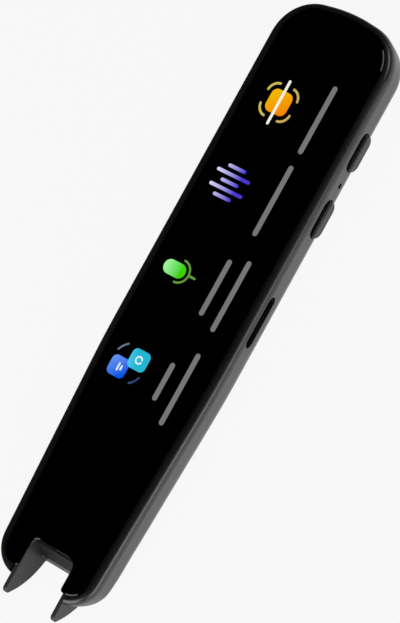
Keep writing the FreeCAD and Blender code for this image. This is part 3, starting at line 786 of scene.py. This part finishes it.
@dataclass
class WaveIcon(Icon):
    """Five violet bars, long and short by turns."""

    centre: Spot = (-6.35, 30.2)
    pitch: float = 1.86
    stroke: float = 0.86
    lengths: tuple[float, ...] = (5.3, 9.9, 5.3, 9.9, 5.3)

    def build(self) -> None:
        """Make the bars."""
        x, y = self.centre
        middle = (len(self.lengths) - 1) / 2
        bars = [
            self.patch.rounded(
                f"wave_{index}",
                (x, y + (index - middle) * self.pitch),
                (length, self.stroke),
                self.stroke / 2,
            )
            for index, length in enumerate(self.lengths)
        ]
        near, far = (x - 4.4, y), (x + 2.4, y)
        ink = LitInk("ink_violet", (0.74, 0.68, 1.0), (0.07, 0.045, 0.66), near, far)
        self.keep(join("wave_bars", bars), ink)


@dataclass
class VoiceIcon(Icon):
    """A green capsule in a cradle on a stem."""

    centre: Spot = (-8.15, 6.7)
    capsule: Spot = (6.4, 3.6)
    cradle_offset: float = 1.5
    cradle_radius: float = 2.75
    cradle_stroke: float = 0.5
    cradle_sweep: float = 188.0
    stem_offset: float = 5.3
    stem: Spot = (2.2, 0.55)

    def build(self) -> None:
        """Make the capsule, its cradle and the stem."""
        x, y = self.centre
        capsule = self.patch.rounded(
            "voice_capsule", self.centre, self.capsule, self.capsule[1] / 2
        )
        near, far = (x - 2.6, y), (x + 1.8, y)
        self.keep(capsule, LitInk("ink_green", (0.36, 1.0, 0.36), (0.05, 0.72, 0.0), near, far))
        cradle = self.patch.arc(
            "voice_arc",
            (x + self.cradle_offset, y),
            self.cradle_radius,
            self.cradle_stroke,
            -self.cradle_sweep / 2,
            self.cradle_sweep,
        )
        stem = self.patch.rounded(
            "voice_stem", (x + self.stem_offset, y), self.stem, self.stem[1] / 2
        )
        ink = LitInk("ink_leaf", (0.16, 0.38, 0.07), (0.13, 0.36, 0.05), (x, y), (x + 3, y))
        self.keep(join("voice_cradle", [cradle, stem]), ink)


@dataclass
class PairIcon(Icon):
    """A blue and a cyan tile that overlap, each with a plain mark, and two faint arcs."""

    centre: Spot = (-6.65, -17.6)
    apart: Spot = (2.1, 1.75)
    blue: Spot = (5.2, 4.9)
    cyan: Spot = (5.3, 4.9)
    tile_corner: float = 1.35
    arc_radius: float = 4.75
    arc_stroke: float = 0.45
    arc_starts: Spot = (120.0, 300.0)
    arc_sweep: float = 40.0
    mark_lift: float = 0.02
    mark_width: float = 0.5
    mark_lengths: Spot = (2.1, 1.3)
    mark_step: float = 0.9
    ring_radius: float = 0.85
    ring_stroke: float = 0.42

    def build(self) -> None:
        """Make the tiles, the arcs round them and the marks on them."""
        x, y = self.centre
        blue_spot = (x - self.apart[0], y - self.apart[1])
        cyan_spot = (x + self.apart[0], y + self.apart[1])
        blue = self.patch.rounded("tile_blue", blue_spot, self.blue, self.tile_corner)
        near, far = (x - 4, y), (x - 0.5, y - 3.5)
        self.keep(blue, LitInk("ink_blue", (0.13, 0.3, 1.0), (0.0, 0.1, 0.82), near, far))
        cyan = self.raised.rounded("tile_cyan", cyan_spot, self.cyan, self.tile_corner)
        near, far = (x - 0.4, y + 0.5), (x + 1.6, y + 1.2)
        self.keep(cyan, LitInk("ink_cyan", (0.08, 0.62, 1.0), (0.02, 0.52, 0.7), near, far))
        arcs = [
            self.patch.arc(
                f"pair_arc_{index}",
                self.centre,
                self.arc_radius,
                self.arc_stroke,
                start,
                self.arc_sweep,
            )
            for index, start in enumerate(self.arc_starts)
        ]
        near, far = (x - 4, y), (x + 4, y)
        ink = LitInk("ink_slate", (0.16, 0.2, 0.32), (0.03, 0.06, 0.2), near, far)
        self.keep(join("pair_arcs", arcs), ink)
        top = Patch(level=self.raised.level + self.mark_lift)
        marks = [
            top.rounded(
                f"mark_{index}",
                (blue_spot[0] + index * self.mark_step, blue_spot[1]),
                (self.mark_width, length),
                self.mark_width / 2,
            )
            for index, length in enumerate(self.mark_lengths)
        ]
        marks.append(top.arc("mark_ring", cyan_spot, self.ring_radius, self.ring_stroke, 10, 340))
        ink = LitInk("ink_pale", (0.75, 0.92, 1.0), (0.75, 0.95, 1.0), self.centre, (x + 1, y))
        self.keep(join("pair_marks", marks), ink)


@dataclass
class LabelBars(Icon):
    """Plain bars where each icon's caption is."""

    width: float = 1.35
    corner: float = 0.67
    lines: tuple[tuple[float, float, float], ...] = (
        (6.5, 43.2, 60.8),
        (6.4, 21.7, 40.0),
        (4.1, -0.1, 14.4),
        (8.9, -2.2, 16.1),
        (4.1, -22.3, -12.6),
        (8.9, -26.5, -8.0),
    )

    def build(self) -> None:
        """Make the bars, each from its X and its two ends along Y."""
        bars = [
            self.patch.rounded(
                f"label_{index}", (x, (low + high) / 2), (self.width, high - low), self.corner
            )
            for index, (x, low, high) in enumerate(self.lines)
        ]
        grey = (0.2, 0.2, 0.2)
        self.keep(join("label_bars", bars), LitInk("ink_grey", grey, grey, (0, 0), (1, 0)))


@dataclass
class Screen:
    """All that is lit on the glass."""

    glass_top: float
    lift: float = 0.03
    overlap_lift: float = 0.05

    def build(self) -> None:
        """Make every icon."""
        patch = Patch(level=self.glass_top + self.lift)
        raised = Patch(level=self.glass_top + self.overlap_lift)
        icons = (FrameIcon, WaveIcon, VoiceIcon, PairIcon, LabelBars)
        for kind in icons:
            kind(patch, raised).build()
        LOG.info("screen: %d icons and label sets", len(icons))


@dataclass(frozen=True)
class Lamp:
    """A soft square lamp aimed at the pen."""

    name: str
    place: Point
    size: float
    power: float

    def build(self, target: Point) -> None:
        """Hang the lamp and aim it.

        Args:
            target: where it points, in millimetres.
        """
        deselect()
        bpy.ops.object.light_add(type="AREA", location=mm(*self.place))
        lamp = bpy.context.object
        lamp.name = self.name
        lamp.data.energy = self.power
        lamp.data.shape = "SQUARE"
        lamp.data.size = self.size * MILLIMETRE
        aim = Vector(mm(*target)) - lamp.location
        lamp.rotation_euler = aim.to_track_quat("-Z", "Y").to_euler()


@dataclass
class Studio:
    """The floor, the soft light and the photograph's camera."""

    camera_place: Point = (378.978, -21.765, 609.524)
    camera_turn: Point = (18.3442, 27.0076, 32.7865)
    focal_length: float = 177.96
    sensor: float = 36.0
    shift: Spot = (0.0048, 0.0008)
    clip: Spot = (10.0, 50000.0)
    floor_size: float = 12000.0
    floor_level: float = -0.02
    floor_grey: float = 0.35
    floor_roughness: float = 0.9
    glow_share: float = 0.92
    flag_edge: Spot = (-30.0, 25.0)
    horizon: Spot = (-0.05, 0.2)
    side_edge: Spot = (-0.5, 0.5)
    ceiling_grey: float = 0.004
    far_wall_grey: float = 0.12
    near_wall_grey: float = 0.7
    lamps: tuple[Lamp, ...] = (
        Lamp("key_lamp", (700.0, -260.0, 160.0), 720.0, 4.5),
        Lamp("high_lamp", (260.0, 520.0, 640.0), 420.0, 1.5),
        Lamp("low_lamp", (-60.0, -640.0, 300.0), 520.0, 3.0),
    )

    def camera(self) -> None:
        """Set the camera."""
        deselect()
        turn = tuple(math.radians(angle) for angle in self.camera_turn)
        bpy.ops.object.camera_add(location=mm(*self.camera_place), rotation=turn)
        camera = bpy.context.object
        camera.name = "photo_camera"
        camera.data.sensor_fit = "AUTO"
        camera.data.sensor_width = self.sensor
        camera.data.lens = self.focal_length
        camera.data.shift_x, camera.data.shift_y = self.shift
        camera.data.clip_start, camera.data.clip_end = mm(*self.clip)
        bpy.context.scene.camera = camera

    def seen(self, shader: Shader, lit_side: Signal) -> Signal:
        """How much of the pale background a ray sees.

        Args:
            shader: the floor's shader.
            lit_side: 1 on the lit side of the floor, 0 where a black flag keeps edges dark.

        Returns:
            1 for a camera or glass ray, and lit_side for a mirror ray.
        """
        path = shader.tree.nodes.new("ShaderNodeLightPath")
        camera, mirror, through = (
            Signal(shader, path.outputs[f"Is {name} Ray"])
            for name in ("Camera", "Glossy", "Transmission")
        )
        return camera.math("MAXIMUM", through.math("MAXIMUM", mirror * lit_side))

    def floor(self) -> None:
        """A plain pale floor that keeps a soft shadow."""
        deselect()
        bpy.ops.mesh.primitive_plane_add(
            size=self.floor_size * MILLIMETRE, location=mm(0, 0, self.floor_level)
        )
        floor = name_active("floor")
        shader = Shader.named("pale_floor")
        shader.set(Base_Color=shade(WHITE, self.floor_grey), Roughness=self.floor_roughness)
        shader.set(Specular_IOR_Level=0.0)
        inputs = {"Color": (*WHITE, 1.0), "Strength": 1.0}
        glow = shader.node("ShaderNodeEmission", {}, inputs)
        bare = Signal(shader, shader.surface.outputs[0])
        lit_side = shader.along("X").between(*self.flag_edge)
        share = self.seen(shader, lit_side) * self.glow_share
        blend = shader.node("ShaderNodeMixShader", {}, [share, bare, glow])
        shader.feed(shader.tree.nodes["Material Output"].inputs["Surface"], blend)
        dress(floor, shader.owner)

    def sky(self) -> None:
        """A room with a dark ceiling, pale walls to the camera and dimmer ones for the light."""
        world = bpy.data.worlds.new("studio_room")
        bpy.context.scene.world = world
        shader = Shader(world, "Background")
        ray = shader.node("ShaderNodeTexCoord", {}, {}, "Generated")
        height, side = (
            shader.node("ShaderNodeSeparateXYZ", {}, [ray], axis) for axis in ("Z", "X")
        )
        wall = 1 - height.between(*self.horizon)
        ceiling = shade(WHITE, self.ceiling_grey)
        far_wall, near_wall = (
            shade(WHITE, grey) for grey in (self.far_wall_grey, self.near_wall_grey)
        )
        pale = shader.mix(wall, ceiling, WHITE)
        room = shader.mix(
            wall, ceiling, shader.mix(side.between(*self.side_edge), far_wall, near_wall)
        )
        path = shader.tree.nodes.new("ShaderNodeLightPath")
        looked_at = Signal(shader, path.outputs["Is Camera Ray"])
        shader.feed(shader.surface.inputs["Color"], shader.mix(looked_at, room, pale))
        shader.feed(shader.surface.inputs["Strength"], 1.0)

    def build(self) -> None:
        """Make the whole studio."""
        self.camera()
        self.floor()
        self.sky()
        for lamp in self.lamps:
            lamp.build((0.0, 0.0, 0.0))
        bpy.context.scene.view_settings.view_transform = "Standard"
        LOG.info("studio: %d lamps", len(self.lamps))


def main() -> None:
    """Dress the frame, build each sub-assembly and set the studio."""
    logging.basicConfig(level=logging.INFO)
    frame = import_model()
    Studio().build()
    finishes = Finishes()
    PackedFrame(frame["nodes"], frame["record"], finishes).dress_all()
    Softening(frame["nodes"]["scan_fork"]).build()
    ForkSprings(frame["nodes"]["fork_springs"]).build()
    glass_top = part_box("cover_glass")[1].z / MILLIMETRE
    Screen(glass_top).build()


if __name__ == "__main__":
    main()
